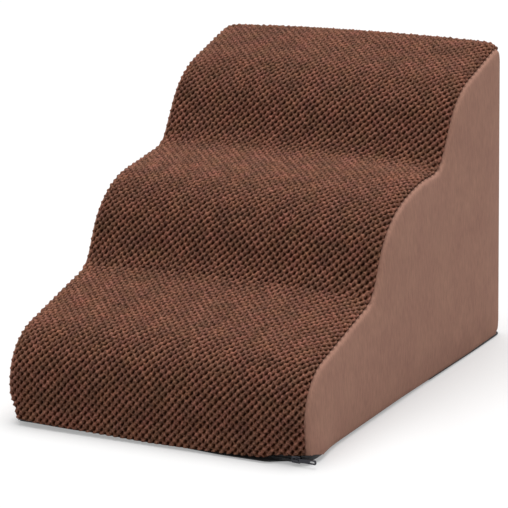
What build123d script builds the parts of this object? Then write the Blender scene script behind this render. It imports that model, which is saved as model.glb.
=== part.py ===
from build123d import *
import math
import os

# Three-step foam pet stairs with a zipped cloth cover, in millimetres.
# X runs across the stairs, +Y from the front edge to the back, Z up from the floor.
# The origin is on the floor under the middle of the base.

# The block: its width, then each riser and tread from the floor up
stairs_width = 400
low_riser_rise = 105
low_tread_run = 187
low_tread_climb = 50
mid_riser_rise = 93
mid_riser_lean = 45
mid_tread_run = 156
mid_tread_climb = 21
top_riser_rise = 85
top_riser_lean = 54
top_tread_run = 149
top_tread_climb = 43

# How round the steps are, and how much higher they stand in the middle than at the sides
low_nose_radius = 72
mid_nose_radius = 113
top_nose_radius = 110
crease_radius = 32
tread_crown = 4

# How round the edges of the stuffed cover are, and the least of it that the foam keeps
side_roll = 15
back_corner_radius = 20
bottom_roll = 10
least_round_share = 0.4

# The cloths of the cover, and the slack between the cover and the foam
plush_thickness = 5
side_cloth_thickness = 1.2
base_cloth_thickness = 1.5
cover_slack = 0.3

# Where the cloths are sewn together
side_seam_inset = 5
back_seam_inset = 8
back_panel_seam_inset = 21
base_rim_height = 2.8
corner_rim_length = 47

# The coil zip along the front hem
zip_end_inset = 9
tape_thickness = 0.6
tape_width = 14
tape_to_middle = 1.5
teeth_half_width = 3
teeth_thickness = 2.4
teeth_to_middle = 0.1
stop_length = 2.5
top_stop_width = 1.7
bottom_stop_inset = 10

# The zip's slider, the bail on its front plate and the pull that hangs on the bail
slider_length = 11
slider_plate = 1
slider_flange = 0.6
slider_mouth_flare = 0.4
slider_clearance = 0.3
slider_corner_radius = 1.2
divider_length = 4
divider_half_width = 1.2
bail_length = 8
bail_width = 1.6
bail_thickness = 0.9
bail_foot = 1.4
pull_length = 26
pull_width = 5.5
pull_thickness = 1.2
pull_arm_width = 1.1
pull_eye_length = 6
pull_eye_width = 2.4
pull_eye_inset = 2
pull_corner_radius = 1.8

# Every cut runs this far past what it cuts
overrun = 20

# Overall sizes and the faces of the block
stairs_depth = (
    low_tread_run + mid_riser_lean + mid_tread_run + top_riser_lean + top_tread_run
)
stairs_height = (
    low_riser_rise
    + low_tread_climb
    + mid_riser_rise
    + mid_tread_climb
    + top_riser_rise
    + top_tread_climb
)
front_y = -stairs_depth / 2
back_y = stairs_depth / 2
half_width = stairs_width / 2

# The slider has just room enough between the rim of the base and the hem above it
slider_rear_half = teeth_half_width + slider_clearance + slider_flange
slider_mouth_half = slider_rear_half + slider_mouth_flare
zip_height = base_rim_height + slider_clearance + slider_mouth_half
hem_height = zip_height + slider_mouth_half + slider_clearance

# The zip's layers, from the front: front plate, teeth, tape, back plate, foam
tape_face_y = front_y + plush_thickness
tape_back_y = tape_face_y + tape_thickness
teeth_face_y = tape_face_y - teeth_thickness
front_plate_back_y = teeth_face_y - slider_clearance
front_plate_face_y = front_plate_back_y - slider_plate
back_plate_face_y = tape_back_y + slider_clearance
back_plate_back_y = back_plate_face_y + slider_plate

# Places along the zip with the slider closed at the right-hand end
zip_end_x = half_width - zip_end_inset
slider_x = zip_end_x - slider_length / 2
divider_x = zip_end_x - divider_length
teeth_end_x = divider_x - slider_clearance
bottom_stop_x = -zip_end_x + bottom_stop_inset
teeth_start_x = bottom_stop_x + stop_length
slider_travel = slider_x - (teeth_start_x + slider_clearance + slider_length / 2)


def inner_radius(radius, inset):
    """The radius of a rounded edge once its faces have moved inwards."""
    return max(radius - inset, radius * least_round_share)


def inset_corner(before, corner, after, inset_before, inset_after):
    """A corner of an outline, once the sides before and after it have moved inwards."""
    side_in = (corner - before).normalized()
    side_out = (after - corner).normalized()
    start = before + Vector(side_in.Y, -side_in.X) * inset_before
    reach = corner + Vector(side_out.Y, -side_out.X) * inset_after - start
    turn = side_in.X * side_out.Y - side_in.Y * side_out.X
    return start + side_in * ((reach.X * side_out.Y - reach.Y * side_out.X) / turn)


def stair_outline():
    """Corners of the side view before rounding, from the front up and over the steps."""
    legs = [
        (0, overrun + low_riser_rise),
        (low_tread_run, low_tread_climb),
        (mid_riser_lean, mid_riser_rise),
        (mid_tread_run, mid_tread_climb),
        (top_riser_lean, top_riser_rise),
        (top_tread_run, top_tread_climb),
        (0, -stairs_height - overrun),
    ]
    corners = [Vector(front_y, -overrun)]
    for run, rise in legs:
        corners.append(corners[-1] + Vector(run, rise))
    return corners


def stair_block(plush, side, base):
    """The stuffed form, drawn in by what lies over its treads, its sides and its base."""
    corners = stair_outline()
    count = len(corners)
    insets = [plush] * (count - 2) + [side, 0]
    points = [
        inset_corner(
            corners[n - 1], corners[n], corners[(n + 1) % count], insets[n - 1], insets[n]
        )
        for n in range(count)
    ]
    radii = [
        0,
        low_nose_radius - plush,
        crease_radius + plush,
        mid_nose_radius - plush,
        crease_radius + plush,
        top_nose_radius - plush,
        0,
        0,
    ]
    # The treads are crowned, so the outline turns about a far axis under the stairs
    crown_radius = half_width**2 / (2 * tread_crown)
    axis_z = stairs_height - crown_radius
    swing = math.asin((half_width + overrun) / -axis_z)
    outline_plane = Plane(
        origin=(0, 0, axis_z),
        x_dir=(0, 1, 0),
        z_dir=(math.cos(swing), 0, math.sin(swing)),
    )
    with BuildPart() as block:
        with BuildSketch(outline_plane):
            with BuildLine():
                FilletPolyline(
                    *[point - Vector(0, axis_z) for point in points],
                    radius=radii,
                    close=True,
                )
            make_face()
        revolve(
            axis=Axis((0, 0, axis_z), (0, 1, 0)),
            revolution_arc=math.degrees(2 * swing),
        )
        with BuildSketch(Plane.XY.offset(base)):
            Rectangle(stairs_width - 2 * side, stairs_depth + 2 * overrun)
        extrude(amount=stairs_height + overrun, mode=Mode.INTERSECT)

        back_edges = block.edges().filter_by(Axis.Z).group_by(Axis.Y)[-1]
        fillet(back_edges, back_corner_radius - side)

        # The rim of the treads is all that the upright faces share with other faces
        uprights = block.faces().filter_by(Axis.X) + block.faces().filter_by(
            lambda face: face.center().Y > back_y - back_corner_radius
        )
        upright_edges = uprights.edges()
        ground = block.faces().sort_by(Axis.Z)[0]
        rim = [
            edge
            for edge in block.edges()
            if upright_edges.count(edge) == 1 and edge not in ground.edges()
        ]
        fillet(rim, inner_radius(side_roll, plush))
        fillet(block.faces().sort_by(Axis.Z)[0].edges(), inner_radius(bottom_roll, base))
    return block.part


# The cover is what lies between its outside and its inside, before it is cut into cloths
outside = stair_block(0, 0, 0)
inside = stair_block(plush_thickness, side_cloth_thickness, base_cloth_thickness)
with BuildPart() as cover:
    add(outside)
    add(inside, mode=Mode.SUBTRACT)

# Above the hem: it dips from the front corners to the rim of the base along the sides
with BuildPart() as upper_cover:
    add(cover.part)
    with BuildSketch(Plane.YZ):
        Polygon(
            (front_y - overrun, hem_height),
            (front_y + side_roll, hem_height),
            (front_y + corner_rim_length, base_rim_height),
            (back_y + overrun, base_rim_height),
            (back_y + overrun, stairs_height + overrun),
            (front_y - overrun, stairs_height + overrun),
            align=None,
        )
    extrude(amount=half_width + overrun, both=True, mode=Mode.INTERSECT)

# Plan outlines of the tread panel, from the hem up, and of the back panel
with BuildSketch(Plane.XY.offset(hem_height)) as tread_plan:
    with Locations((0, back_y - back_seam_inset)):
        Rectangle(
            stairs_width - 2 * side_seam_inset,
            stairs_depth + overrun,
            align=(Align.CENTER, Align.MAX),
        )
with BuildSketch() as back_plan:
    with Locations((0, back_y - back_seam_inset)):
        Rectangle(
            stairs_width - 2 * back_panel_seam_inset,
            back_seam_inset + overrun,
            align=(Align.CENTER, Align.MIN),
        )
panel_reach = stairs_height + overrun

# One cut block of foam, with a channel for the slider behind the zip
with BuildPart() as foam_core:
    add(
        stair_block(
            plush_thickness + cover_slack,
            side_cloth_thickness + cover_slack,
            base_cloth_thickness,
        )
    )
    with BuildSketch(Plane.YZ):
        with Locations((front_y, 0)):
            Rectangle(
                back_plate_back_y + slider_clearance - front_y,
                hem_height + slider_clearance,
                align=(Align.MIN, Align.MIN),
            )
            Rectangle(
                tape_back_y + cover_slack - front_y,
                zip_height + tape_to_middle + tape_width + cover_slack,
                align=(Align.MIN, Align.MIN),
            )
    extrude(amount=zip_end_x + cover_slack, both=True, mode=Mode.SUBTRACT)

# The two tapes of the zip stand on edge behind the hem and on the rim of the base
with BuildPart() as zip_tape_upper:
    with BuildSketch(Plane.XZ.offset(-tape_back_y)):
        with Locations((0, zip_height + tape_to_middle)):
            Rectangle(2 * zip_end_x, tape_width, align=(Align.CENTER, Align.MIN))
    extrude(amount=tape_thickness)

with BuildPart() as zip_tape_lower:
    with BuildSketch(Plane.XZ.offset(-tape_back_y)):
        with Locations((0, base_rim_height)):
            Rectangle(
                2 * zip_end_x,
                zip_height - tape_to_middle - base_rim_height,
                align=(Align.CENTER, Align.MIN),
            )
    extrude(amount=tape_thickness)

# The textured plush, one length from the front hem to the seam along the top of the back
with BuildPart() as tread_panel:
    add(upper_cover.part)
    extrude(tread_plan.sketch, amount=panel_reach, mode=Mode.INTERSECT)
    add(zip_tape_upper.part, mode=Mode.SUBTRACT)

# Plain cloth on the back
with BuildPart() as back_panel:
    add(upper_cover.part)
    extrude(back_plan.sketch, amount=panel_reach, mode=Mode.INTERSECT)

# Plain cloth on the sides, turned round the back corners
with BuildPart() as side_panel_right:
    add(upper_cover.part)
    extrude(tread_plan.sketch, amount=panel_reach, mode=Mode.SUBTRACT)
    extrude(back_plan.sketch, amount=panel_reach, mode=Mode.SUBTRACT)
    split(bisect_by=Plane.YZ)

with BuildPart() as side_panel_left:
    mirror(side_panel_right.part, about=Plane.YZ)

# Black cloth under the base, turned up as a low rim that rises at the front corners
with BuildPart() as base_panel:
    add(cover.part)
    add(upper_cover.part, mode=Mode.SUBTRACT)
    with BuildSketch(Plane.YZ):
        with Locations((front_y - overrun, base_rim_height)):
            Rectangle(overrun + side_roll, hem_height, align=(Align.MIN, Align.MIN))
    extrude(amount=zip_end_x + slider_clearance, both=True, mode=Mode.SUBTRACT)

# Each row of teeth is a nylon coil sewn on the edge of its tape
with BuildPart() as zip_teeth_upper:
    with BuildSketch(Plane.XZ.offset(-tape_face_y)):
        with Locations((teeth_start_x, zip_height + teeth_to_middle)):
            Rectangle(
                teeth_end_x - teeth_start_x,
                teeth_half_width - teeth_to_middle,
                align=(Align.MIN, Align.MIN),
            )
    extrude(amount=teeth_thickness)
    fillet(
        zip_teeth_upper.edges().filter_by(Axis.X).group_by(Axis.Y)[0],
        teeth_thickness / 3,
    )

with BuildPart() as zip_teeth_lower:
    mirror(zip_teeth_upper.part, about=Plane.XY.offset(zip_height))

# Stops on the tapes at the two ends of the teeth
with BuildPart() as zip_top_stops:
    with BuildSketch(Plane.XZ.offset(-tape_face_y)):
        with Locations((divider_x + slider_clearance, zip_height + tape_to_middle)):
            Rectangle(stop_length, top_stop_width, align=(Align.MIN, Align.MIN))
    extrude(amount=teeth_thickness)
    mirror(about=Plane.XY.offset(zip_height))

with BuildPart() as zip_bottom_stop:
    with BuildSketch(Plane.XZ.offset(-tape_face_y)):
        with Locations((bottom_stop_x, zip_height)):
            Rectangle(stop_length, 2 * teeth_half_width, align=(Align.MIN, Align.CENTER))
    extrude(amount=teeth_thickness)

# The slider: two plates joined by the divider between the parting teeth
with BuildSketch() as plate_outline:
    with Locations((slider_x, zip_height)):
        Polygon(
            (-slider_length / 2, -slider_rear_half),
            (slider_length / 2, -slider_mouth_half),
            (slider_length / 2, slider_mouth_half),
            (-slider_length / 2, slider_rear_half),
            align=None,
        )
    fillet(plate_outline.vertices(), slider_corner_radius)

bail_opening = pull_thickness + 2 * slider_clearance
pivot_y = front_plate_face_y - bail_opening / 2

with BuildPart() as zip_slider:
    with BuildSketch(Plane.XZ.offset(-front_plate_back_y)):
        add(plate_outline.sketch)
    extrude(amount=slider_plate)
    with BuildSketch(Plane.XZ.offset(-back_plate_back_y)):
        add(plate_outline.sketch)
    extrude(amount=slider_plate)
    # Flanges along the front plate stop short of the tapes
    with BuildSketch(Plane.XZ.offset(-front_plate_back_y)):
        add(plate_outline.sketch)
        with Locations((slider_x, zip_height)):
            Polygon(
                (-slider_length / 2, -slider_rear_half + slider_flange),
                (slider_length / 2, -slider_mouth_half + slider_flange),
                (slider_length / 2, slider_mouth_half - slider_flange),
                (-slider_length / 2, slider_rear_half - slider_flange),
                align=None,
                mode=Mode.SUBTRACT,
            )
    extrude(amount=-(tape_face_y - slider_clearance - front_plate_back_y))
    # The divider points along the teeth and widens to the mouth
    with BuildSketch(Plane.XZ.offset(-front_plate_back_y)):
        with Locations((divider_x, zip_height)):
            Polygon(
                (0, 0),
                (divider_length / 2, -divider_half_width),
                (divider_length, -divider_half_width),
                (divider_length, divider_half_width),
                (divider_length / 2, divider_half_width),
                align=None,
            )
    extrude(amount=-(back_plate_face_y - front_plate_back_y))
    # The bail is an arch along the front plate
    with BuildSketch(Plane.XY.offset(zip_height - bail_width / 2)) as bail:
        with Locations((slider_x, front_plate_face_y)):
            Rectangle(
                bail_length,
                bail_opening + bail_thickness,
                align=(Align.CENTER, Align.MAX),
            )
        fillet(bail.vertices().group_by(Axis.Y)[0], bail_thickness)
        with Locations((slider_x, front_plate_face_y)):
            Rectangle(
                bail_length - 2 * bail_foot,
                bail_opening,
                align=(Align.CENTER, Align.MAX),
                mode=Mode.SUBTRACT,
            )
    extrude(amount=bail_width)

# The pull: a flat tab with a window for the bail and an eye at its free end
pull_root_half = bail_width / 2 + slider_clearance + pull_arm_width
pull_window = bail_length / 2 + slider_clearance
with BuildPart() as zip_pull:
    with BuildSketch(Plane.XZ.offset(-pivot_y - pull_thickness / 2)) as tab:
        with Locations((slider_x, zip_height)):
            Polygon(
                (0, -pull_root_half),
                (pull_window, -pull_root_half),
                (pull_length, -pull_width / 2),
                (pull_length, pull_width / 2),
                (pull_window, pull_root_half),
                (0, pull_root_half),
                align=None,
            )
        fillet(tab.vertices().group_by(Axis.X)[-1], pull_corner_radius)
        with Locations((slider_x, zip_height)):
            Rectangle(
                pull_window,
                2 * (pull_root_half - pull_arm_width),
                align=(Align.MIN, Align.CENTER),
                mode=Mode.SUBTRACT,
            )
        eye_x = slider_x + pull_length - pull_eye_inset - pull_eye_length / 2
        with Locations((eye_x, zip_height)):
            SlotOverall(pull_eye_length, pull_eye_width, mode=Mode.SUBTRACT)
    extrude(amount=pull_thickness)
    # The round bar of the pull turns inside the bail
    with BuildSketch(Plane.XY.offset(zip_height - pull_root_half)):
        with Locations((slider_x, pivot_y)):
            Circle(pull_thickness / 2)
    extrude(amount=2 * pull_root_half)

print("slider travel", slider_travel, "slider x", slider_x, "zip height", zip_height)
print("pull pivot", slider_x, pivot_y, zip_height)

pieces = {
    "foam_core": foam_core,
    "tread_panel": tread_panel,
    "side_panel_right": side_panel_right,
    "side_panel_left": side_panel_left,
    "back_panel": back_panel,
    "base_panel": base_panel,
    "zip_tape_upper": zip_tape_upper,
    "zip_tape_lower": zip_tape_lower,
    "zip_teeth_upper": zip_teeth_upper,
    "zip_teeth_lower": zip_teeth_lower,
    "zip_top_stops": zip_top_stops,
    "zip_bottom_stop": zip_bottom_stop,
    "zip_slider": zip_slider,
    "zip_pull": zip_pull,
}
os.makedirs("parts", exist_ok=True)
for name, piece in pieces.items():
    piece.part.label = name
    export_step(piece.part, f"parts/{name}.step")
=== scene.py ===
import math
import bmesh
import bpy
import numpy as np
from mathutils import Matrix, Vector
from mathutils.bvhtree import BVHTree
from mathutils.kdtree import KDTree


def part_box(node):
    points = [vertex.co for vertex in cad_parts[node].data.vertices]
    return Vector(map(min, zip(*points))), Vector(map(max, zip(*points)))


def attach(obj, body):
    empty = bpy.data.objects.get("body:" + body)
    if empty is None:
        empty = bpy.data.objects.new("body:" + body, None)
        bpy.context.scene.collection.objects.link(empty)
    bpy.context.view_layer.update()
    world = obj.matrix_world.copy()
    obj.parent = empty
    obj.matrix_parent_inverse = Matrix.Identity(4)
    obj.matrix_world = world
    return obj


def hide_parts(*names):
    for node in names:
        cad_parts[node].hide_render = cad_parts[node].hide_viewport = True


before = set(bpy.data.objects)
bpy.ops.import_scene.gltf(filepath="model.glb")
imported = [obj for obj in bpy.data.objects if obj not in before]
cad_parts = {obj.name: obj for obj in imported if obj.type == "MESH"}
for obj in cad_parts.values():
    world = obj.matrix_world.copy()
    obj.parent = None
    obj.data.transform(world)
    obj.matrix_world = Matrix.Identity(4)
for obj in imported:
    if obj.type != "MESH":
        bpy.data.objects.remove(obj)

scene = bpy.context.scene
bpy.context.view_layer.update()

# The stuffed form. A block of soft foam fills a sewn cover, so the cloths swell a little between
# their seams. A cloth simulation under air pressure gives the swell, and every cloth of the
# cover is laid on this form or cut from it. It is a pattern only and isn't shown.
form_voxel = 0.006
swell_limit = 0.0022
sewn_reach, sewn_front = 0.004, 0.02
air_pressure, settling_frames = 4, 20
side_seam_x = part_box("tread_panel")[1][0]
back_seam_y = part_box("tread_panel")[1][1]
back_seam_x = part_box("back_panel")[1][0]
hem_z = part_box("tread_panel")[0][2]
rim_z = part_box("side_panel_right")[0][2]
front_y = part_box("tread_panel")[0][1]
zip_end_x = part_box("zip_tape_upper")[1][0]
channel_low = (-zip_end_x, front_y + 0.0035, 0.001)
channel_high = (zip_end_x, front_y + 0.015, 0.026)
wall_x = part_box("side_panel_right")[1][0]
wall_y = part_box("back_panel")[1][1]
roll_radius = 0.010
press_reach = 0.035
press_share = 0.9
press_start, press_end = -0.02, 0.20
pressed_rim, pressed_low, pressed_high = 0.0012, 0.0006, 0.014
slack_start_x, slack_start_y, slack_top = 0.181, -0.240, 0.036
slack_move = (0.012, 0.008, 0.008)
bump_place_y, bump_width, bump_top, bump_height = -0.262, 0.030, 0.050, 0.005
full_place_y, full_width, full_height = 0.034, 0.042, 0.0055
full_start_z, full_end_z = 0.18, 0.24


def new_object(name, mesh):
    """An object at the origin for a finished mesh, shaded smooth."""
    mesh.polygons.foreach_set("use_smooth", [True] * len(mesh.polygons))
    piece = bpy.data.objects.new(name, mesh)
    scene.collection.objects.link(piece)
    return piece


def settled(piece, name=None):
    """The piece's mesh with its modifiers applied, as a plain mesh."""
    result = bpy.data.meshes.new_from_object(
        piece.evaluated_get(bpy.context.evaluated_depsgraph_get())
    )
    result.name = name or piece.name
    return result


def voxel_copy(name, nodes, voxel, fill=None):
    """CAD nodes merged into one even skin, with a box that fills a hollow between them."""
    bm = bmesh.new()
    for node in nodes:
        bm.from_mesh(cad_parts[node].data)
    if fill:
        low, high = Vector(fill[0]), Vector(fill[1])
        place = Matrix.LocRotScale((low + high) / 2, None, high - low)
        bmesh.ops.create_cube(bm, size=1, matrix=place)
    mesh = bpy.data.meshes.new(name)
    bm.to_mesh(mesh)
    bm.free()
    piece = new_object(name, mesh)
    remesh = piece.modifiers.new("Even skin", "REMESH")
    remesh.mode = "VOXEL"
    remesh.voxel_size = voxel
    skin = settled(piece)
    bpy.data.objects.remove(piece)
    bm = bmesh.new()
    bm.from_mesh(skin)
    bm.verts.ensure_lookup_table()
    # Hollows left between the nodes come out as shells of their own, and only the skin stays
    outermost = min(bm.verts, key=lambda vert: vert.co.y)
    reached, edge_of_reach = {outermost}, [outermost]
    while edge_of_reach:
        vert = edge_of_reach.pop()
        for edge in vert.link_edges:
            other = edge.other_vert(vert)
            if other not in reached:
                reached.add(other)
                edge_of_reach.append(other)
    inner = [vert for vert in bm.verts if vert not in reached]
    bmesh.ops.delete(bm, geom=inner, context="VERTS")
    bm.to_mesh(skin)
    bm.free()
    return new_object(name, skin)


def is_sewn(place):
    """True where the cover is held: at its seams, its hem and its base."""
    near_side_seam = abs(abs(place.x) - side_seam_x) < sewn_reach
    near_back_seam = abs(place.y - back_seam_y) < sewn_reach
    near_back_upright = abs(abs(place.x) - back_seam_x) < sewn_reach and place.y > back_seam_y
    near_zip = place.y < front_y + sewn_front and place.z < 2 * hem_z
    low = place.z < hem_z + sewn_reach or near_zip
    return near_side_seam or near_back_seam or near_back_upright or low


cover_nodes = ["foam_core", "tread_panel", "side_panel_right", "side_panel_left",
               "back_panel", "base_panel"]
form = voxel_copy("stuffed_form", cover_nodes, form_voxel, (channel_low, channel_high))
start = np.empty(len(form.data.vertices) * 3, np.float32)
form.data.vertices.foreach_get("co", start)
sewn = form.vertex_groups.new(name="sewn")
sewn.add([v.index for v in form.data.vertices if is_sewn(v.co)], 1, "REPLACE")
cloth = form.modifiers.new("Stuffed cover", "CLOTH")
cloth.settings.quality = 5
cloth.settings.vertex_group_mass = "sewn"
cloth.settings.use_pressure = True
cloth.settings.uniform_pressure_force = air_pressure
cloth.settings.effector_weights.gravity = 0
for frame_number in range(1, settling_frames + 1):
    scene.frame_set(frame_number)
swollen = settled(form)
form.modifiers.clear()
end = np.empty_like(start)
swollen.vertices.foreach_get("co", end)
scene.frame_set(1)
start, end = start.reshape(-1, 3), end.reshape(-1, 3)
moved = end - start
length = np.linalg.norm(moved, axis=1, keepdims=True) + 1e-9
capped = start + moved / length * swell_limit * np.tanh(length / swell_limit)
form.data.vertices.foreach_set("co", capped.ravel())
form.data.update()
form_tree = BVHTree.FromObject(form, bpy.context.evaluated_depsgraph_get())


def eased(value, start, end):
    """0 before the start and 1 past the end, with a soft change between them."""
    share = np.clip((value - start) / (end - start), 0, 1)
    return share * share * (3 - 2 * share)


def at_rest(places):
    """Places on the form, moved to where the cloth lies once the stairs stand on a floor."""
    x, y, z = np.moveaxis(np.asarray(places, dtype=float), -1, 0)
    right, width = np.sign(x), np.abs(x)
    # The tall end is heavy and presses the rolled lower edge out square
    reach_x = np.maximum(width - wall_x + press_reach, 0)
    reach_y = np.maximum(y - wall_y + press_reach, 0)
    reach = np.hypot(reach_x, reach_y) + 1e-9
    low = np.clip(roll_radius - z, 0, roll_radius)
    rolled_in = roll_radius - np.sqrt(roll_radius**2 - low**2)
    press = np.clip((y - press_start) / (press_end - press_start), 0, 1)
    out = np.minimum(rolled_in, reach * roll_radius / (press_reach - roll_radius))
    out *= press_share * press / reach
    drop = press * np.interp(z, [pressed_low, rim_z, pressed_high], [0, rim_z - pressed_rim, 0])
    # The cover is slack at the left front corner and stuffed out at the right one
    slack = eased(width, slack_start_x, wall_x) * eased(-y, -slack_start_y, -front_y)
    slack *= eased(-z, -slack_top, 0) * (x < 0)
    bump = np.exp(-((y - bump_place_y) / bump_width) ** 2) * eased(-z, -bump_top, 0)
    bump *= bump_height * eased(width, slack_start_x, wall_x) * (x > 0)
    # The second tread is stuffed fuller at its back on the right
    full = np.exp(-((y - full_place_y) / full_width) ** 2) * eased(x, 0, side_seam_x)
    full *= full_height * eased(z, full_start_z, full_end_z)
    moved_x = x + right * (out * reach_x - slack * slack_move[0]) + bump
    moved_y = y + out * reach_y + slack * slack_move[1]
    return np.stack([moved_x, moved_y, z - drop + slack * slack_move[2] + full], axis=-1)


def lay_at_rest(piece):
    """Moves a finished piece's points to where they lie on the standing stairs."""
    places = np.empty(len(piece.data.vertices) * 3)
    piece.data.vertices.foreach_get("co", places)
    piece.data.vertices.foreach_set("co", at_rest(places.reshape(-1, 3)).ravel())


# The foam block: one piece of open-cell polyurethane foam, cut to the stepped shape by a wire
# saw. The cover hides it. A channel along its front edge makes room for the zip's slider.
foam_voxel = 0.005
foam_colour, foam_cell_colour = "#efe6cf", "#d9cba8"
foam_cell = 0.0016
foam_slack = 0.0048
# The foam is cut back more and more from the left front corner, where the cover hangs slack
corner_cut = 0.014
corner_cut_x, corner_cut_y, corner_cut_z = (0.160, 0.190), (0.230, 0.280), (0.0225, 0.045)


def linear(colour):
    """A written sRGB colour as the linear colour that a socket takes."""
    parts = [int(colour[k:k + 2], 16) / 255 for k in (1, 3, 5)]
    return [p / 12.92 if p <= 0.04045 else ((p + 0.055) / 1.055) ** 2.4 for p in parts] + [1]


def add_node(tree, kind, inputs=None, **settings):
    """Adds a node with its settings. An input given as another node's output is linked."""
    made = tree.nodes.new(kind)
    for key, value in settings.items():
        setattr(made, key, value)
    for key, value in (inputs or {}).items():
        if isinstance(value, bpy.types.NodeSocket):
            tree.links.new(value, made.inputs[key])
        else:
            made.inputs[key].default_value = value
    return made


def new_material(name):
    """An empty node material, and its tree."""
    material = bpy.data.materials.new(name)
    material.use_nodes = True
    material.node_tree.nodes.clear()
    return material, material.node_tree


foam = voxel_copy("foam_block", ["foam_core"], foam_voxel)
normals = np.empty(len(foam.data.vertices) * 3)
places = np.empty_like(normals)
foam.data.vertices.foreach_get("normal", normals)
foam.data.vertices.foreach_get("co", places)
shrunk = (places - foam_slack * normals).reshape(-1, 3)
corner = eased(-shrunk[:, 0], *corner_cut_x) * eased(-shrunk[:, 1], *corner_cut_y)
corner *= 1 - eased(shrunk[:, 2], *corner_cut_z)
shrunk[:, :2] += (corner_cut * corner)[:, None]
foam.data.vertices.foreach_set("co", shrunk.ravel())
lay_at_rest(foam)

# Cut open cells give a dry, matt cream surface with fine pits
cut_foam, tree = new_material("cut open-cell foam")
place = add_node(tree, "ShaderNodeTexCoord").outputs["Object"]
cells = add_node(tree, "ShaderNodeTexVoronoi", {"Vector": place, "Scale": 1 / foam_cell})
tone = add_node(tree, "ShaderNodeMix", {"Factor": cells.outputs["Distance"],
                6: linear(foam_cell_colour), 7: linear(foam_colour)}, data_type="RGBA")
pits = add_node(tree, "ShaderNodeBump", {"Height": cells.outputs["Distance"],
                "Strength": 0.5, "Distance": foam_cell / 2})
surface = add_node(tree, "ShaderNodeBsdfPrincipled", {"Base Color": tone.outputs[2],
                   "Roughness": 0.95, "Sheen Weight": 0.2, "Normal": pits.outputs[0]})
add_node(tree, "ShaderNodeOutputMaterial", {"Surface": surface.outputs[0]})
foam.data.materials.append(cut_foam)
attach(foam, "stairs")
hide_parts("foam_core")

# The tread cover: one length of polyester chenille plush, knitted in a pineapple pattern of
# round lumps with small deep pits between them. It runs from the hem over the zip up the
# three steps to the seam along the top of the back, and its edges are turned in at the seams.
lump_pitch_across = 0.0091
lump_pitch_along = 0.0104
points_per_lump = 6
lump_height = 0.0046
lump_wander = 0.0040
lump_lean = 0.0006
round_lump, deep_pit = (1.3, 0.9), (3.4, 1.3)
sheet_level = 0.75
tuft_low, tuft_gain = 0.72, 0.56
# How dark the pits are painted, partly the backing's dark colour and partly painted shade, and how
# much lighter the lump crowns are painted than the valleys, a painted highlight
pit_open, pit_closing = 1.9, 2.0
pit_share, crown_highlight_share = 0.7, 0.3
# The lumps wander over about 14 mm of cloth, and their tufts differ over about 6 mm
wander_scale, tuft_scale = 70, 170
# The lumps are lower beside the seams and above the hem: the share left, and how far it reaches
seam_share, seam_reach = 0.8, 0.010
hem_share, hem_reach = 0.75, 0.020
backing_depth, hem_backing_depth = 0.0044, 0.0034
turned_in = 0.0012
# The hem hangs over the zip, lowest at the middle and left, and clears the slider's way
hem_places = [-0.195, -0.186, -0.17, -0.14, -0.10, -0.05, 0.0, 0.05, 0.10, 0.147, 0.158,
              0.178, 0.195]
hem_heights = [0.0100, 0.0096, 0.0088, 0.0078, 0.0070, 0.0058, 0.0046, 0.0050, 0.0060, 0.0080,
               0.0112, 0.0130, 0.0142]
hem_flare, hem_flare_drop, hem_flare_height = 0.0052, 0.004, 0.034
flap_inset, flap_spread = 0.009, 0.3
hem_ease = 0.120
bridge_reach = 0.018
# Crown to pit: the light top ring is a painted highlight, and the mid and pit colours are partly
# the backing's dark dye and partly painted shade
plush_crown, plush_top_highlight, plush_mid, plush_pit_backing_and_shade = "#835a4a", "#8e6251", "#3e1f0e", "#150200"
plush_sheen = "#c98d74"
# Fibre ends are drawn 2.3 mm wide, coarser than they are, so that they show. Dye and wear
# change over about 21 mm.
fibre_scale, dye_scale = 430, 48
profile_step, profile_rounds, lift_rounds = 0.001, 6, 5
stand_off = 0.02
knit_seed = 4


def step_profile():
    """Side view of the form at its middle: points, outward directions and lengths along it."""
    along, inward = Vector((0, 1, 1)).normalized(), Vector((0, 1, -1)).normalized()
    hits = []
    reach = (front_y + hem_z) / math.sqrt(2)
    while True:
        hit = form_tree.ray_cast(along * reach - inward, inward)[0]
        if hit is None or hit.y > back_seam_y:
            break
        hits.append((hit.y, hit.z))
        reach += profile_step
    hits = np.array(hits)
    for _ in range(profile_rounds):
        hits[1:-1] = (hits[:-2] + 2 * hits[1:-1] + hits[2:]) / 4
    lengths = np.concatenate([[0], np.cumsum(np.linalg.norm(np.diff(hits, axis=0), axis=1))])
    return hits, lengths


def bridge_over(profile, step):
    """How far the taut cloth stands off its outline, which it does only where that is hollow."""
    window = np.arange(-3 * bridge_reach, 3 * bridge_reach, step) / bridge_reach
    weights = np.exp(-window**2 / 2)
    weights /= weights.sum()
    padded = np.pad(profile, ((len(weights) // 2, len(weights) - 1 - len(weights) // 2), (0, 0)),
                    mode="reflect", reflect_type="odd")
    taut = np.stack([np.convolve(padded[:, k], weights, mode="valid") for k in (0, 1)], axis=1)
    slope = np.gradient(profile, axis=0)
    slope /= np.linalg.norm(slope, axis=1, keepdims=True)
    return np.maximum((profile[:, 0] - taut[:, 0]) * slope[:, 1]
                      + (taut[:, 1] - profile[:, 1]) * slope[:, 0], 0)


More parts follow.
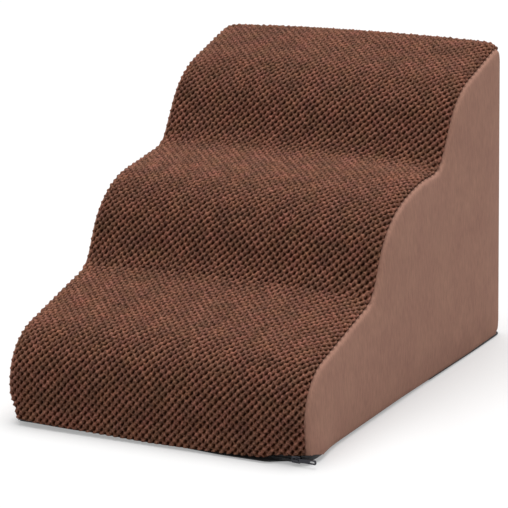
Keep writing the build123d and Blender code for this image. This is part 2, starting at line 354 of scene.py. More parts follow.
def laid_sheet():
    """The plush laid on the form: a fine grid of places, and each one's place on the cloth."""
    hits, lengths = step_profile()
    cells_across = round(2 * side_seam_x / lump_pitch_across * points_per_lump)
    cells_across -= cells_across % points_per_lump
    cells_along = round(lengths[-1] / lump_pitch_along * points_per_lump)
    cells_along -= cells_along % points_per_lump
    across = np.linspace(-side_seam_x, side_seam_x, cells_across + 1)
    along = np.linspace(0, lengths[-1], cells_along + 1)
    y, z = np.interp(along, lengths, hits[:, 0]), np.interp(along, lengths, hits[:, 1])
    slope = np.stack([np.gradient(y), np.gradient(z)], axis=1)
    slope /= np.linalg.norm(slope, axis=1, keepdims=True)
    hem_drop = hem_z - np.interp(across, hem_places, hem_heights)
    lift = np.zeros((len(along), len(across)))
    for i in range(len(along)):
        out = Vector((0, -slope[i, 1], slope[i, 0]))
        row = Vector((0, y[i], max(z[i], hem_z + sewn_reach)))
        for j in range(len(across)):
            start = row + out * stand_off + Vector((across[j], 0, 0))
            distance = form_tree.ray_cast(start, -out)[3]
            lift[i, j] = stand_off - (distance if distance is not None else stand_off)
    for _ in range(lift_rounds):
        lift[1:-1] = (lift[:-2] + 2 * lift[1:-1] + lift[2:]) / 4
        lift[:, 1:-1] = (lift[:, :-2] + 2 * lift[:, 1:-1] + lift[:, 2:]) / 4
    taut = bridge_over(np.stack([y, z], axis=1), along[1])
    lift += taut[:, None] * (1 - (across[None, :] / side_seam_x) ** 4)
    sag = np.clip(1 - along / hem_ease, 0, 1)[:, None] * -hem_drop[None, :]
    cloth_along = along[:, None] + sag
    grid = np.zeros((len(along), len(across), 3))
    grid[..., 0] = across[None, :]
    level_y = np.interp(cloth_along, lengths, hits[:, 0])
    level_z = np.interp(cloth_along, lengths, hits[:, 1]) + np.minimum(cloth_along, 0)
    grid[..., 1] = level_y - slope[:, 1, None] * lift
    grid[..., 2] = level_z + slope[:, 0, None] * lift
    flare = np.clip(hem_drop / hem_flare_drop, 0, 1)[None, :]
    flare = flare * eased(-grid[..., 2], -hem_flare_height, -hem_z)
    grid[..., 1] -= hem_flare * flare
    # The flap hangs straight in front of the slider's way
    past_flap = np.maximum(np.abs(across) - zip_end_x + flap_inset, 0)
    straight = front_y + flap_spread * past_flap - hem_flare * flare
    grid[..., 1] = np.where(flare > 0.5, np.minimum(grid[..., 1], straight), grid[..., 1])
    return at_rest(grid), across, cloth_along


def grid_mesh(name, grid):
    """A mesh of quads through a grid of places, row by row, facing outwards."""
    rows, columns = grid.shape[:2]
    index = np.arange(rows * columns).reshape(rows, columns)
    faces = np.stack([index[:-1, :-1], index[:-1, 1:], index[1:, 1:], index[1:, :-1]], axis=-1)
    mesh = bpy.data.meshes.new(name)
    mesh.from_pydata(grid.reshape(-1, 3).tolist(), [], faces.reshape(-1, 4).tolist())
    return mesh


def new_tree(name, inputs):
    """An empty geometry node tree with named inputs, and the sockets that give their values."""
    tree = bpy.data.node_groups.new(name, "GeometryNodeTree")
    for label, kind in inputs.items():
        tree.interface.new_socket(label, in_out="INPUT", socket_type="NodeSocket" + kind)
    tree.interface.new_socket("Geometry", in_out="OUTPUT", socket_type="NodeSocketGeometry")
    return tree, add_node(tree, "NodeGroupInput").outputs


def end_tree(tree, shape, material):
    """Ends a node tree in plain geometry of one material."""
    shape = add_node(tree, "GeometryNodeRealizeInstances", {"Geometry": shape})
    shape = add_node(tree, "GeometryNodeSetMaterial", {"Geometry": shape.outputs[0],
                     "Material": material})
    add_node(tree, "NodeGroupOutput", {"Geometry": shape.outputs[0]})


def pineapple_knit():
    """A node tree that raises the knit's lumps from a sheet that knows its place on the cloth."""
    sizes = ["Pitch across", "Pitch along", "Lump height", "Wander", "Lean"]
    tree, given = new_tree("pineapple knit", {"Geometry": "Geometry",
                           **dict.fromkeys(sizes, "Float"), "Seed": "Int",
                           "Material": "Material"})
    cloth = add_node(tree, "GeometryNodeInputNamedAttribute", {"Name": "cloth"},
                     data_type="FLOAT_VECTOR").outputs[0]
    unevenness = add_node(tree, "ShaderNodeTexNoise", {"Vector": cloth, "W": given["Seed"],
                          "Scale": wander_scale, "Detail": 2}, noise_dimensions="4D")
    wander = add_node(tree, "ShaderNodeVectorMath", {0: unevenness.outputs["Color"],
                      1: (0.5, 0.5, 0.5)}, operation="SUBTRACT")
    wander = add_node(tree, "ShaderNodeVectorMath", {0: wander.outputs[0],
                      "Scale": given["Wander"]}, operation="SCALE")
    place = add_node(tree, "ShaderNodeVectorMath", {0: cloth, 1: wander.outputs[0]})
    parts = add_node(tree, "ShaderNodeSeparateXYZ", {0: place.outputs[0]}).outputs
    edge = add_node(tree, "ShaderNodeSeparateXYZ", {0: cloth}).outputs["Z"]
    tuft = add_node(tree, "ShaderNodeTexNoise", {"Vector": cloth, "W": given["Seed"],
                    "Scale": tuft_scale, "Detail": 2}, noise_dimensions="4D").outputs["Fac"]
    # Each step has the name of its result, an operation, and the two values that it works on.
    # The rows sway a little to one side and back.
    steps = [("turn", "MULTIPLY", "Y", 4 * math.pi), ("turn", "DIVIDE", "turn", "Pitch along"),
             ("turn", "SINE", "turn", 0), ("leaning", "MULTIPLY", "turn", "Lean"),
             ("X", "SUBTRACT", "X", "leaning")]
    for way, pitch in (("X", "Pitch across"), ("Y", "Pitch along")):
        steps += [("turn", "DIVIDE", way, pitch), ("turn", "MULTIPLY", "turn", math.pi),
                  ("turn", "COSINE", "turn", 0), (way + " near", "MULTIPLY", "turn", "turn"),
                  (way + " far", "SUBTRACT", 1, way + " near")]
    for pits, (narrowing, shortening) in (("hollows", round_lump), ("open pits", deep_pit)):
        for side in (" near", " far"):
            steps += [("narrow", "POWER", "X" + side, narrowing),
                      ("short", "POWER", "Y" + side, shortening),
                      (pits + side, "MULTIPLY", "narrow", "short")]
        steps.append((pits, "ADD", pits + " near", pits + " far"))
    # The lumps are round. The pits between them are painted nearly black, partly the backing's own
    # dark colour and partly painted shade, more in some pits than in others, and the lump crowns
    # are painted lighter than the valleys: a painted highlight, with painted shade in the valleys
    steps += [("lumps", "SUBTRACT", 1, "hollows"),
              ("opening", "MULTIPLY", "tuft", pit_closing),
              ("opening", "SUBTRACT", pit_open, "opening"),
              ("open pits", "MULTIPLY", "open pits", "opening"),
              ("pile", "SUBTRACT", 1, "open pits"), ("pile", "MULTIPLY", "pile", pit_share),
              ("crowns", "MULTIPLY", "lumps", crown_highlight_share), ("pile", "ADD", "pile", "crowns"),
              ("uneven", "MULTIPLY", "tuft", tuft_gain), ("uneven", "ADD", tuft_low, "uneven"),
              ("raised", "MULTIPLY", "lumps", "uneven"),
              ("raised", "SUBTRACT", "raised", sheet_level),
              ("raised", "MULTIPLY", "raised", "Lump height"),
              ("raised", "MULTIPLY", "raised", "edge")]
    found = {**dict(given.items()), "X": parts["X"], "Y": parts["Y"], "edge": edge, "tuft": tuft}
    for name, operation, first, second in steps:
        found[name] = add_node(tree, "ShaderNodeMath", {0: found.get(first, first),
                               1: found.get(second, second)}, operation=operation).outputs[0]
    normal = add_node(tree, "GeometryNodeInputNormal").outputs[0]
    offset = add_node(tree, "ShaderNodeVectorMath", {0: normal, "Scale": found["raised"]},
                      operation="SCALE")
    shape = add_node(tree, "GeometryNodeStoreNamedAttribute", {"Geometry": given["Geometry"],
                     "Name": "pile", "Value": found["pile"]}, data_type="FLOAT", domain="POINT")
    shape = add_node(tree, "GeometryNodeSetPosition", {"Geometry": shape.outputs[0],
                     "Offset": offset.outputs[0]})
    end_tree(tree, shape.outputs[0], given["Material"])
    return tree


def give_nodes(piece, tree, **values):
    """Puts a node tree on a piece, with the values of its named inputs."""
    modifier = piece.modifiers.new(tree.name, "NODES")
    modifier.node_group = tree
    sockets = {item.name: item.identifier for item in tree.interface.items_tree
               if item.in_out == "INPUT"}
    for name, value in values.items():
        modifier[sockets[name.replace("_", " ").capitalize()]] = value
    return modifier


def turned_panel(mesh, backing, points_per_cell):
    """Closes a fine sheet with a coarser back, joined round the edge by a turned-in rim."""
    rows, columns = backing.shape[:2]
    coarse = backing[::points_per_cell, ::points_per_cell]
    fine_index = np.arange(rows * columns).reshape(rows, columns)
    index = rows * columns + np.arange(coarse.shape[0] * coarse.shape[1]).reshape(coarse.shape[:2])

    def ring(grid):
        return np.concatenate([grid[0, :-1], grid[:-1, -1], grid[-1, :0:-1], grid[:0:-1, 0]])

    outer, inner = ring(fine_index), ring(index)
    faces = np.stack([index[:-1, :-1], index[1:, :-1], index[1:, 1:], index[:-1, 1:]], axis=-1)
    faces = faces.reshape(-1, 4).tolist()
    half = points_per_cell // 2
    for k in range(len(inner)):
        first, second = int(inner[k]), int(inner[(k + 1) % len(inner)])
        for step in range(points_per_cell):
            a = int(outer[k * points_per_cell + step])
            b = int(outer[(k * points_per_cell + step + 1) % len(outer)])
            faces.append([b, a, first if step < half else second])
            if step == half - 1:
                faces.append([b, first, second])
    places = np.empty(len(mesh.vertices) * 3)
    mesh.vertices.foreach_get("co", places)
    piles = np.ones(len(mesh.vertices) + len(coarse.reshape(-1, 3)), np.float32)
    fine_piles = np.empty(len(mesh.vertices), np.float32)
    mesh.attributes["pile"].data.foreach_get("value", fine_piles)
    piles[:len(fine_piles)] = fine_piles
    old_faces = [list(polygon.vertices) for polygon in mesh.polygons]
    closed = bpy.data.meshes.new(mesh.name)
    all_places = np.concatenate([places.reshape(-1, 3), coarse.reshape(-1, 3)])
    closed.from_pydata(all_places.tolist(), [], old_faces + faces)
    closed.attributes.new("pile", "FLOAT", "POINT").data.foreach_set("value", piles)
    return closed


# Chenille pile is matt and deep, and its sheen gives the crowns a warm bloom of fibre ends. Its
# colour is painted from the pile attribute: a painted highlight on a ring round each crown,
# painted shade in the valleys, and near black in the pits, partly the backing's dark dye and
# partly painted shade
plush_knit, tree = new_material("chenille plush knit")
place = add_node(tree, "ShaderNodeTexCoord").outputs["Object"]
pile = add_node(tree, "ShaderNodeAttribute", attribute_name="pile").outputs["Fac"]
shade = add_node(tree, "ShaderNodeValToRGB", {"Fac": pile})
ramp = shade.color_ramp
ramp.elements[0].position, ramp.elements[0].color = 0.12, linear(plush_pit_backing_and_shade)
ramp.elements[1].position, ramp.elements[1].color = 1.0, linear(plush_crown)
for position, colour in ((0.5, plush_mid), (0.94, plush_top_highlight)):
    ramp.elements.new(position).color = linear(colour)
fibres = add_node(tree, "ShaderNodeTexNoise", {"Vector": place, "Scale": fibre_scale,
                  "Detail": 3})
patches = add_node(tree, "ShaderNodeTexNoise", {"Vector": place, "Scale": dye_scale,
                   "Detail": 3})
light_dark = add_node(tree, "ShaderNodeMapRange", {"Value": fibres.outputs["Fac"],
                      "From Min": 0.36, "From Max": 0.64, "To Min": 0.5, "To Max": 1.5})
rubbed = add_node(tree, "ShaderNodeMapRange", {"Value": patches.outputs["Fac"],
                  "From Min": 0.35, "From Max": 0.65, "To Min": 0.88, "To Max": 1.12})
both = add_node(tree, "ShaderNodeMath", {0: light_dark.outputs[0], 1: rubbed.outputs[0]},
                operation="MULTIPLY")
tone = add_node(tree, "ShaderNodeVectorMath", {0: shade.outputs[0], "Scale": both.outputs[0]},
                operation="SCALE")
# The dye took a little unevenly, so the brown leans to red in some places and to olive in others
dye = add_node(tree, "ShaderNodeVectorMath", {0: patches.outputs["Color"], 1: (0.3, 0.3, 0.3),
               2: (0.85, 0.85, 0.85)}, operation="MULTIPLY_ADD")
tone = add_node(tree, "ShaderNodeVectorMath", {0: tone.outputs[0], 1: dye.outputs[0]},
                operation="MULTIPLY")
fuzz = add_node(tree, "ShaderNodeBump", {"Height": fibres.outputs["Fac"], "Strength": 0.5,
                "Distance": 0.0006})
surface = add_node(tree, "ShaderNodeBsdfPrincipled", {"Base Color": tone.outputs[0],
                   "Roughness": 0.95, "Specular IOR Level": 0.1, "Sheen Weight": 0.14,
                   "Sheen Roughness": 0.45, "Sheen Tint": linear(plush_sheen),
                   "Normal": fuzz.outputs[0]})
add_node(tree, "ShaderNodeOutputMaterial", {"Surface": surface.outputs[0]})

laid, across, cloth_along = laid_sheet()
sheet = new_object("plush_sheet", grid_mesh("plush_sheet", laid))
from_seam = np.abs(np.abs(across) - side_seam_x)[None, :]
edge_share = np.clip(seam_share + from_seam / seam_reach, 0, 1) * np.ones_like(cloth_along)
edge_share *= np.clip(hem_share + (cloth_along - cloth_along[0]) / hem_reach, 0, 1)
cloth_places = np.stack([np.broadcast_to(across, cloth_along.shape), cloth_along, edge_share],
                        axis=-1)
sheet.data.attributes.new("cloth", "FLOAT_VECTOR", "POINT").data.foreach_set(
    "vector", cloth_places.astype(np.float32).ravel())
real_pitch_across = points_per_lump * (across[1] - across[0])
give_nodes(sheet, pineapple_knit(), pitch_across=float(real_pitch_across),
           pitch_along=lump_pitch_along, lump_height=lump_height, wander=lump_wander,
           lean=lump_lean, seed=knit_seed, material=plush_knit)
knitted = settled(sheet, "tread_plush")
normals = np.empty(len(sheet.data.vertices) * 3)
sheet.data.vertices.foreach_get("normal", normals)
depths = np.interp(cloth_along - cloth_along[0], [0, hem_flare_height],
                   [hem_backing_depth, backing_depth])
backing = laid - depths[..., None] * normals.reshape(laid.shape)
backing[0, :, 2] += turned_in
backing[:, 0, 0] += turned_in
backing[:, -1, 0] -= turned_in
bpy.data.objects.remove(sheet)
plush = new_object("tread_plush", turned_panel(knitted, backing, points_per_lump))
plush.data.materials.append(plush_knit)
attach(plush, "stairs")
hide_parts("tread_panel")

# The side and back cloths: brushed polyester microfibre with a short suede-like nap, cut to the
# shape of the steps and sewn to the plush wrong side out, so the edge rolls under at the seam.
cloth_thickness = 0.0012
seam_depth = 0.0028
seam_width = 0.0045
side_shade, side_bloom, side_sheen = "#a27668", "#ba8e79", "#d9b3a6"
over_rim, lap_reach = 0.0006, 0.001
dip_start_y, dip_end_y = front_y + 0.015, front_y + 0.047
zip_side_y = front_y + 0.014
# The nap is brushed in streaks 2.2 mm wide, and lies differently over patches of about 38 mm
streak_width = 0.0022
streak_stretch, patch_scale = 0.18, 26


def hem_height_at(y):
    """Height of the cloths' lower edge along the sides, which dips behind the front corners."""
    return float(np.interp(y, [dip_start_y, dip_end_y], [hem_z, rim_z]))


def cloth_of(place):
    """The name of the cloth that covers this place of the form."""
    at_zip = abs(place.x) < zip_end_x and place.y < zip_side_y
    if place.z < (rim_z if at_zip else hem_height_at(place.y)):
        return "base_cloth"
    if abs(place.x) < side_seam_x and place.y < back_seam_y:
        return "tread"
    if abs(place.x) < back_seam_x:
        return "back_cloth"
    return "side_cloth_right" if place.x > 0 else "side_cloth_left"


def cut_form():
    """The form cut along every seam, ready to be parted into cloths."""
    bm = bmesh.new()
    bm.from_mesh(form.data)
    dip = Vector((0, hem_z - rim_z, dip_end_y - dip_start_y)).normalized()
    cuts = [((side_seam_x, 0, 0), (1, 0, 0)), ((-side_seam_x, 0, 0), (1, 0, 0)),
            ((0, back_seam_y, 0), (0, 1, 0)), ((back_seam_x, 0, 0), (1, 0, 0)),
            ((-back_seam_x, 0, 0), (1, 0, 0)), ((0, 0, rim_z), (0, 0, 1)),
            ((0, dip_start_y, hem_z), dip), ((0, 0, hem_z), (0, 0, 1)),
            ((zip_end_x, 0, 0), (1, 0, 0)), ((-zip_end_x, 0, 0), (1, 0, 0))]
    for point, direction in cuts:
        bmesh.ops.bisect_plane(bm, geom=bm.verts[:] + bm.edges[:] + bm.faces[:], dist=1e-5,
                               plane_co=point, plane_no=direction)
    return bm


def cut_cloth(name, pattern, levels=1, depth=seam_depth, lap=over_rim):
    """One cloth parted from the cut form, smoothed, drawn in at its seams, lapped over the rim."""
    bm = pattern.copy()
    bmesh.ops.delete(bm, geom=[f for f in bm.faces if cloth_of(f.calc_center_median()) != name],
                     context="FACES")
    mesh = bpy.data.meshes.new(name)
    bm.to_mesh(mesh)
    bm.free()
    piece = new_object(name, mesh)
    if levels:
        smooth = piece.modifiers.new("Smooth cloth", "SUBSURF")
        smooth.levels = smooth.render_levels = levels
    mesh = settled(piece, name)
    bpy.data.objects.remove(piece)
    bm = bmesh.new()
    bm.from_mesh(mesh)
    bm.normal_update()
    border = [v for v in bm.verts if v.is_boundary]
    if lap:
        low = [v for v in border if v.co.z < hem_height_at(v.co.y) + lap_reach]
        border = [v for v in border if v.co.z >= hem_height_at(v.co.y) + lap_reach]
        for vert in low:
            vert.co += Vector((vert.normal.x, vert.normal.y, -2)) * lap / 2
    tree = KDTree(len(border))
    for k, vert in enumerate(border):
        tree.insert(vert.co, k)
    tree.balance()
    moves = []
    for vert in bm.verts:
        distance = tree.find(vert.co)[2]
        moves.append(vert.normal * -depth * math.exp(-((distance / seam_width) ** 2)))
    for vert, move in zip(bm.verts, moves):
        vert.co += move
    bm.to_mesh(mesh)
    bm.free()
    piece = new_object(name, mesh)
    wall = piece.modifiers.new("Cloth thickness", "SOLIDIFY")
    wall.thickness, wall.offset = cloth_thickness, -1
    solid = settled(piece, name)
    bpy.data.objects.remove(piece)
    piece = new_object(name, solid)
    lay_at_rest(piece)
    return piece


# The nap scatters light, so the cloth is matt with a faint bloom, streaked where it is brushed
suede, tree = new_material("brushed microfibre suede")
place = add_node(tree, "ShaderNodeTexCoord").outputs["Object"]
mottle = add_node(tree, "ShaderNodeTexNoise", {"Vector": place, "Scale": patch_scale,
                  "Detail": 4, "Roughness": 0.62})
stretched = add_node(tree, "ShaderNodeMapping", {"Vector": place,
                     "Scale": (1, 1, streak_stretch)})
nap = add_node(tree, "ShaderNodeTexNoise", {"Vector": stretched.outputs[0],
               "Scale": 1 / streak_width, "Detail": 3})
tone = add_node(tree, "ShaderNodeMix", {"Factor": mottle.outputs["Fac"], 6: linear(side_shade),
                7: linear(side_bloom)}, data_type="RGBA")
thread = add_node(tree, "ShaderNodeMapRange", {"Value": nap.outputs["Fac"], "From Min": 0.3,
                  "From Max": 0.7, "To Min": 0.89, "To Max": 1.11})
tone = add_node(tree, "ShaderNodeVectorMath", {0: tone.outputs[2], "Scale": thread.outputs[0]},
                operation="SCALE")
relief = add_node(tree, "ShaderNodeBump", {"Height": nap.outputs["Fac"], "Strength": 0.25,
                  "Distance": 0.0005})
surface = add_node(tree, "ShaderNodeBsdfPrincipled", {"Base Color": tone.outputs[0],
                   "Roughness": 0.9, "Specular IOR Level": 0.2, "Sheen Weight": 0.12,
                   "Sheen Roughness": 0.5, "Sheen Tint": linear(side_sheen),
                   "Normal": relief.outputs[0]})
add_node(tree, "ShaderNodeOutputMaterial", {"Surface": surface.outputs[0]})

pattern = cut_form()
for name, node in (("side_cloth_right", "side_panel_right"),
                   ("side_cloth_left", "side_panel_left"), ("back_cloth", "back_panel")):
    cloth_piece = cut_cloth(name, pattern)
    cloth_piece.data.materials.append(suede)
    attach(cloth_piece, "stairs")
    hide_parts(node)

# The base cloth: black non-slip polyester under the stairs, turned up as a low rim round the
# sides. Rubber dots printed on it in staggered rows hold the stairs on a smooth floor.
dot_radius = 0.0015
dot_height = 0.0005
dot_pitch = 0.016
dot_margin = 0.022
rim_tuck = 0.0002
fold_reach = 0.012
fold_start, fold_end = -0.273, -0.286
fold_places = [-0.17, -0.12, 0.00, 0.09, 0.15, 0.170]
fold_shares = [0, 0.25, 0.25, 1, 1, 0]
fold_margin, bulge_margin = 0.0005, 0.0004
rim_out, rim_out_start, rim_out_end = 0.0024, 0.186, 0.191
base_dark, base_light = "#121213", "#26262a"
base_thread = 0.002
dot_dark, dot_light = "#1c1c1d", "#2c2c2e"
dot_grain_scale = 700

# A plain weave dyed black: matt, with threads drawn 2 mm wide, coarser than they are, to show
black_cloth, tree = new_material("black woven polyester")
place = add_node(tree, "ShaderNodeTexCoord").outputs["Object"]
threads = add_node(tree, "ShaderNodeTexNoise", {"Vector": place, "Scale": 1 / base_thread,
                   "Detail": 2})
tone = add_node(tree, "ShaderNodeMix", {"Factor": threads.outputs["Fac"], 6: linear(base_dark),
                7: linear(base_light)}, data_type="RGBA")
relief = add_node(tree, "ShaderNodeBump", {"Height": threads.outputs["Fac"], "Strength": 0.4,
                  "Distance": 0.0004})
surface = add_node(tree, "ShaderNodeBsdfPrincipled", {"Base Color": tone.outputs[2],
                   "Roughness": 0.8, "Sheen Weight": 0.1, "Normal": relief.outputs[0]})
add_node(tree, "ShaderNodeOutputMaterial", {"Surface": surface.outputs[0]})

base = cut_cloth("base_cloth", pattern, levels=0, depth=rim_tuck, lap=0)
# The rim's turned edge lies folded forward on the floor under the zip, and bulges at the sides
for vert in base.data.vertices:
    vert.co.z = max(vert.co.z, dot_height)
    if abs(vert.co.x) < zip_end_x and vert.co.y < fold_start:
        vert.co.z = min(vert.co.z, rim_z)
    fold = float(np.interp(vert.co.x, fold_places, fold_shares))
    fold *= vert.co.z < rim_z + fold_margin
    vert.co.y -= fold_reach * fold * float(eased(-vert.co.y, -fold_start, -fold_end))
    bulge = rim_out * float(eased(abs(vert.co.x), rim_out_start, rim_out_end))
    vert.co.x += math.copysign(bulge * (vert.co.z < rim_z - bulge_margin), vert.co.x)
base.data.materials.append(black_cloth)
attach(base, "stairs")
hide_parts("base_panel")


def dot_rows():
    """A node tree that sets domes in staggered rows over a rectangle."""
    sizes = ["Width", "Depth", "Pitch", "Dot radius", "Dot height"]
    tree, given = new_tree("staggered dots", {**dict.fromkeys(sizes, "Float"),
                           "Material": "Material"})
    rows = []
    for inset in (0.0, 1.0):
        spans, counts = [], []
        for name in ("Width", "Depth"):
            whole = add_node(tree, "ShaderNodeMath", {0: given[name], 1: given["Pitch"]},
                             operation="DIVIDE")
            whole = add_node(tree, "ShaderNodeMath", {0: whole.outputs[0]}, operation="FLOOR")
            fewer = add_node(tree, "ShaderNodeMath", {0: whole.outputs[0], 1: inset},
                             operation="SUBTRACT")
            span = add_node(tree, "ShaderNodeMath", {0: fewer.outputs[0], 1: given["Pitch"]},
                            operation="MULTIPLY")
            count = add_node(tree, "ShaderNodeMath", {0: fewer.outputs[0], 1: 1.0})
            spans.append(span.outputs[0])
            counts.append(count.outputs[0])
        grid = add_node(tree, "GeometryNodeMeshGrid", {"Size X": spans[0], "Size Y": spans[1],
                        "Vertices X": counts[0], "Vertices Y": counts[1]})
        rows.append(grid.outputs[0])
    joined = add_node(tree, "GeometryNodeJoinGeometry")
    for row in rows:
        tree.links.new(row, joined.inputs[0])
    dome = add_node(tree, "GeometryNodeMeshUVSphere", {"Segments": 10, "Rings": 4,
                    "Radius": 1.0})
    flat = add_node(tree, "ShaderNodeCombineXYZ", {0: given["Dot radius"],
                    1: given["Dot radius"], 2: given["Dot height"]})
    dots = add_node(tree, "GeometryNodeInstanceOnPoints", {"Points": joined.outputs[0],
                    "Instance": dome.outputs[0], "Scale": flat.outputs[0]})
    lift = add_node(tree, "ShaderNodeCombineXYZ", {2: given["Dot height"]})
    dots = add_node(tree, "GeometryNodeSetPosition", {"Geometry": dots.outputs[0],
                    "Offset": lift.outputs[0]})
    end_tree(tree, dots.outputs[0], given["Material"])
    return tree


# Rubber printed wet and cured sets smooth, a little glossier than the cloth, with a fine grain
dot_rubber, tree = new_material("printed rubber dots")
place = add_node(tree, "ShaderNodeTexCoord").outputs["Object"]
grain = add_node(tree, "ShaderNodeTexNoise", {"Vector": place, "Scale": dot_grain_scale})
tone = add_node(tree, "ShaderNodeMix", {"Factor": grain.outputs["Fac"], 6: linear(dot_dark),
                7: linear(dot_light)}, data_type="RGBA")
surface = add_node(tree, "ShaderNodeBsdfPrincipled", {"Base Color": tone.outputs[2],
                   "Roughness": 0.55})
add_node(tree, "ShaderNodeOutputMaterial", {"Surface": surface.outputs[0]})


def grown_piece(name, tree, **values):
    """A piece that a node tree makes by itself, as a plain mesh."""
    seedling = new_object(name, bpy.data.meshes.new(name))
    give_nodes(seedling, tree, **values)
    mesh = settled(seedling, name)
    bpy.data.objects.remove(seedling)
    return new_object(name, mesh)


base_low, base_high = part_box("base_panel")
dots = grown_piece("grip_dots", dot_rows(), width=base_high[0] - base_low[0] - 2 * dot_margin,
                   depth=base_high[1] - base_low[1] - 2 * dot_margin, pitch=dot_pitch,
                   dot_radius=dot_radius, dot_height=dot_height, material=dot_rubber)
lay_at_rest(dots)
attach(dots, "stairs")

# The zip tapes: narrow polyester tape woven in a herringbone, one sewn behind the hem and one
# to the rim of the base. They carry the two rows of teeth and are cut short past the lower stop.
tape_cord = 0.0008
tape_past_stop = 0.0015
tape_dark, tape_light = "#101011", "#29292c"

# Polyester yarn in slanting ribs 0.8 mm apart has a dull shine along each rib
woven_tape, tree = new_material("woven zip tape")
place = add_node(tree, "ShaderNodeTexCoord").outputs["Object"]
turned = add_node(tree, "ShaderNodeMapping", {"Vector": place,
                  "Rotation": (0, math.radians(45), 0)})
ribs = add_node(tree, "ShaderNodeTexWave", {"Vector": turned.outputs[0],
                "Scale": 1 / tape_cord / 20, "Distortion": 0.4})
tone = add_node(tree, "ShaderNodeMix", {"Factor": ribs.outputs["Fac"], 6: linear(tape_dark),
                7: linear(tape_light)}, data_type="RGBA")
relief = add_node(tree, "ShaderNodeBump", {"Height": ribs.outputs["Fac"], "Strength": 0.5,
                  "Distance": 0.0003})
surface = add_node(tree, "ShaderNodeBsdfPrincipled", {"Base Color": tone.outputs[2],
                   "Roughness": 0.75, "Sheen Weight": 0.1, "Normal": relief.outputs[0]})
add_node(tree, "ShaderNodeOutputMaterial", {"Surface": surface.outputs[0]})

for name, node in (("tape_upper", "zip_tape_upper"), ("tape_lower", "zip_tape_lower")):
    tape_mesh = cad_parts[node].data.copy()
    tape_mesh.materials.clear()
    for vert in tape_mesh.vertices:
        vert.co.x = max(vert.co.x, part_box("zip_bottom_stop")[0][0] - tape_past_stop)
    tape = bpy.data.objects.new(name, tape_mesh)
    scene.collection.objects.link(tape)
    tape.data.materials.append(woven_tape)
    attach(tape, "stairs")
    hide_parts(node)

# The zip teeth: each row is one nylon monofilament wound as a flattened spiral, whose turns
# catch between the turns of the other row. It is sewn down along the edge of its tape.
coil_pitch = 0.0014
coil_wire = 0.00066
coil_sides = 5
coil_steps = 8
coil_bite = 0.0002
coil_dark, coil_light = "#151516", "#303034"
coil_wear_scale = 300


def flat_coil():
    """A node tree that winds a wire in a long flat spiral."""
    sizes = ["Turns", "Length", "Half height", "Half depth", "Wire"]
    tree, given = new_tree("flat coil", {**dict.fromkeys(sizes, "Float"), "Middle": "Vector",
                           "Material": "Material"})
    spiral = add_node(tree, "GeometryNodeCurveSpiral", {"Resolution": coil_steps,
                      "Rotations": given["Turns"], "Start Radius": 1.0, "End Radius": 1.0,
                      "Height": given["Length"]})
    size = add_node(tree, "ShaderNodeCombineXYZ", {0: given["Half height"],
                    1: given["Half depth"], 2: 1.0})
    laid_down = add_node(tree, "GeometryNodeTransform", {"Geometry": spiral.outputs[0],
                         "Scale": size.outputs[0]})
    laid_down = add_node(tree, "GeometryNodeTransform", {"Geometry": laid_down.outputs[0],
                         "Translation": given["Middle"],
                         "Rotation": (0, math.radians(90), 0)})
    ring = add_node(tree, "GeometryNodeCurvePrimitiveCircle", {"Resolution": coil_sides,
                    "Radius": given["Wire"]})
    wire = add_node(tree, "GeometryNodeCurveToMesh", {"Curve": laid_down.outputs[0],
                    "Profile Curve": ring.outputs[0], "Fill Caps": True})
    end_tree(tree, wire.outputs[0], given["Material"])
    return tree


# Drawn nylon is smooth and half glossy, greyed a little where the slider has rubbed it
nylon_coil, tree = new_material("black nylon monofilament")
place = add_node(tree, "ShaderNodeTexCoord").outputs["Object"]
wear = add_node(tree, "ShaderNodeTexNoise", {"Vector": place, "Scale": coil_wear_scale})
tone = add_node(tree, "ShaderNodeMix", {"Factor": wear.outputs["Fac"], 6: linear(coil_dark),
                7: linear(coil_light)}, data_type="RGBA")
surface = add_node(tree, "ShaderNodeBsdfPrincipled", {"Base Color": tone.outputs[2],
                   "Roughness": 0.35, "IOR": 1.53})
add_node(tree, "ShaderNodeOutputMaterial", {"Surface": surface.outputs[0]})

coil_tree = flat_coil()
for name, node, shift in (("coil_upper", "zip_teeth_upper", 0),
                          ("coil_lower", "zip_teeth_lower", coil_pitch / 2)):
    low, high = [Vector(corner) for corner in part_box(node)]
    size = high - low
    turns = math.floor((size.x - coil_pitch) / coil_pitch)
    middle = Vector((low.x + coil_wire + shift, (low.y + high.y) / 2, (low.z + high.z) / 2))
    coil = grown_piece(name, coil_tree, turns=float(turns), length=turns * coil_pitch,
                       half_height=size.z / 2 - coil_wire / 2 + coil_bite,
                       half_depth=size.y / 2 - coil_wire / 2, wire=coil_wire / 2,
                       middle=middle, material=nylon_coil)
    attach(coil, "stairs")
    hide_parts(node)

# The zip's metal: stops pressed on the tapes, and a slider and a pull that are die-cast in zinc
# alloy. All are plated in black nickel, and tumbling before plating softens their edges.
edge_radius, sharp_angle = 0.00025, 40
weld_reach = 0.00001
nickel_dark, nickel_light = "#2e2e32", "#4a4a4f"
handling_scale = 260

# Black nickel plating shines dark grey, dulled in patches of about 4 mm by handling
nickel, tree = new_material("black nickel-plated zinc casting")
place = add_node(tree, "ShaderNodeTexCoord").outputs["Object"]
handling = add_node(tree, "ShaderNodeTexNoise", {"Vector": place, "Scale": handling_scale,
                    "Detail": 3})
tone = add_node(tree, "ShaderNodeMix", {"Factor": handling.outputs["Fac"],
                6: linear(nickel_dark), 7: linear(nickel_light)}, data_type="RGBA")
gloss = add_node(tree, "ShaderNodeMapRange", {"Value": handling.outputs["Fac"], "To Min": 0.2,
                 "To Max": 0.4})
surface = add_node(tree, "ShaderNodeBsdfPrincipled", {"Base Color": tone.outputs[2],
                   "Metallic": 1.0, "Roughness": gloss.outputs[0]})
add_node(tree, "ShaderNodeOutputMaterial", {"Surface": surface.outputs[0]})

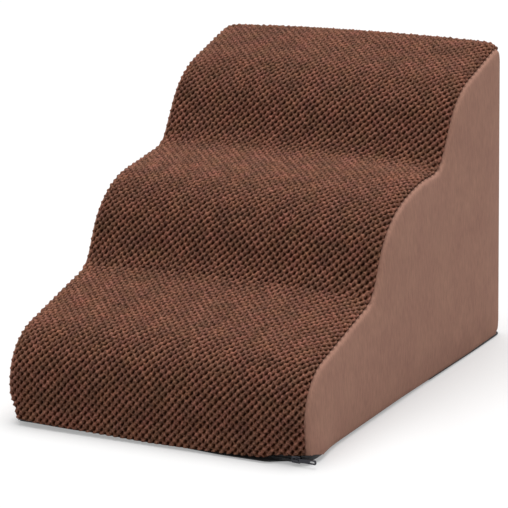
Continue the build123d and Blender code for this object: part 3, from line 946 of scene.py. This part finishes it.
for node in ("zip_slider", "zip_pull", "zip_top_stops", "zip_bottom_stop"):
    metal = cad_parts[node]
    metal.data.materials.clear()
    metal.data.materials.append(nickel)
    weld = metal.modifiers.new("Joined faces", "WELD")
    weld.merge_threshold = weld_reach
    rounding = metal.modifiers.new("Tumbled edges", "BEVEL")
    rounding.width, rounding.segments, rounding.limit_method = edge_radius, 2, "ANGLE"
    rounding.angle_limit = math.radians(sharp_angle)

# The floor and the light: a white studio floor under an even white sky, with one large soft
# lamp above and a little behind, so the treads are lighter than the risers.
floor_reach = 30
floor_tone, floor_shade = "#cecece", "#c0c0c0"
floor_glow = 0.33
sky_strength = 0.385
key_strength = 2.5
key_softness = 50
key_direction = (0.05, -0.15, -1.0)


def seen_rays(tree):
    """1 for a ray from the camera, straight or by gloss or glass, and 0 for any other."""
    ways = add_node(tree, "ShaderNodeLightPath").outputs
    seen = ways["Is Camera Ray"]
    for way in ("Is Glossy Ray", "Is Transmission Ray"):
        seen = add_node(tree, "ShaderNodeMath", {0: seen, 1: ways[way]},
                        operation="MAXIMUM").outputs[0]
    return seen


bm = bmesh.new()
bmesh.ops.create_circle(bm, cap_ends=True, segments=64, radius=floor_reach)
floor_mesh = bpy.data.meshes.new("studio_floor")
bm.to_mesh(floor_mesh)
bm.free()
floor = new_object("studio_floor", floor_mesh)
white_floor, tree = new_material("white studio floor")
seen = seen_rays(tree)
tone = add_node(tree, "ShaderNodeMix", {"Factor": seen, 6: linear(floor_shade),
                7: linear(floor_tone)}, data_type="RGBA")
lit = add_node(tree, "ShaderNodeBsdfDiffuse", {"Color": tone.outputs[2]})
glow_share = add_node(tree, "ShaderNodeMath", {0: seen, 1: floor_glow}, operation="MULTIPLY")
glow = add_node(tree, "ShaderNodeEmission", {"Strength": glow_share.outputs[0]})
total = add_node(tree, "ShaderNodeAddShader", {0: lit.outputs[0], 1: glow.outputs[0]})
add_node(tree, "ShaderNodeOutputMaterial", {"Surface": total.outputs[0]})
floor.data.materials.append(white_floor)

world = bpy.data.worlds.new("studio")
scene.world = world
world.use_nodes = True
tree = world.node_tree
tree.nodes.clear()
strength = add_node(tree, "ShaderNodeMapRange", {"Value": seen_rays(tree),
                    "To Min": sky_strength, "To Max": 1.0})
sky = add_node(tree, "ShaderNodeBackground", {"Color": (1, 1, 1, 1),
               "Strength": strength.outputs[0]})
add_node(tree, "ShaderNodeOutputWorld", {"Surface": sky.outputs[0]})

lamp = bpy.data.lights.new("soft_key", "SUN")
lamp.energy = key_strength
lamp.angle = math.radians(key_softness)
key = bpy.data.objects.new("soft_key", lamp)
key.rotation_euler = Vector(key_direction).to_track_quat("-Z", "Y").to_euler()
scene.collection.objects.link(key)

# The camera stands to the right of the front, above the top step, and looks down at the stairs
# through a long lens, so their edges stay nearly parallel.
camera_place = Vector((1.44964, -2.83255, 0.99708))
camera_yaw = 0.47717
camera_pitch = 0.25816
camera_roll = -0.01885
sensor = 36
lens = 188.02

camera_data = bpy.data.cameras.new("camera")
camera_data.sensor_width = sensor
camera_data.lens = lens
camera = bpy.data.objects.new("camera", camera_data)
upright = Matrix.Rotation(camera_yaw, 4, "Z")
level = Matrix.Rotation(math.radians(90) - camera_pitch, 4, "X")
camera.matrix_world = (Matrix.Translation(camera_place) @ upright @ level
                       @ Matrix.Rotation(camera_roll, 4, "Z"))
scene.collection.objects.link(camera)
scene.camera = camera
scene.view_settings.view_transform = "Standard"

# The stuffed form was a pattern only
bpy.data.objects.remove(form)
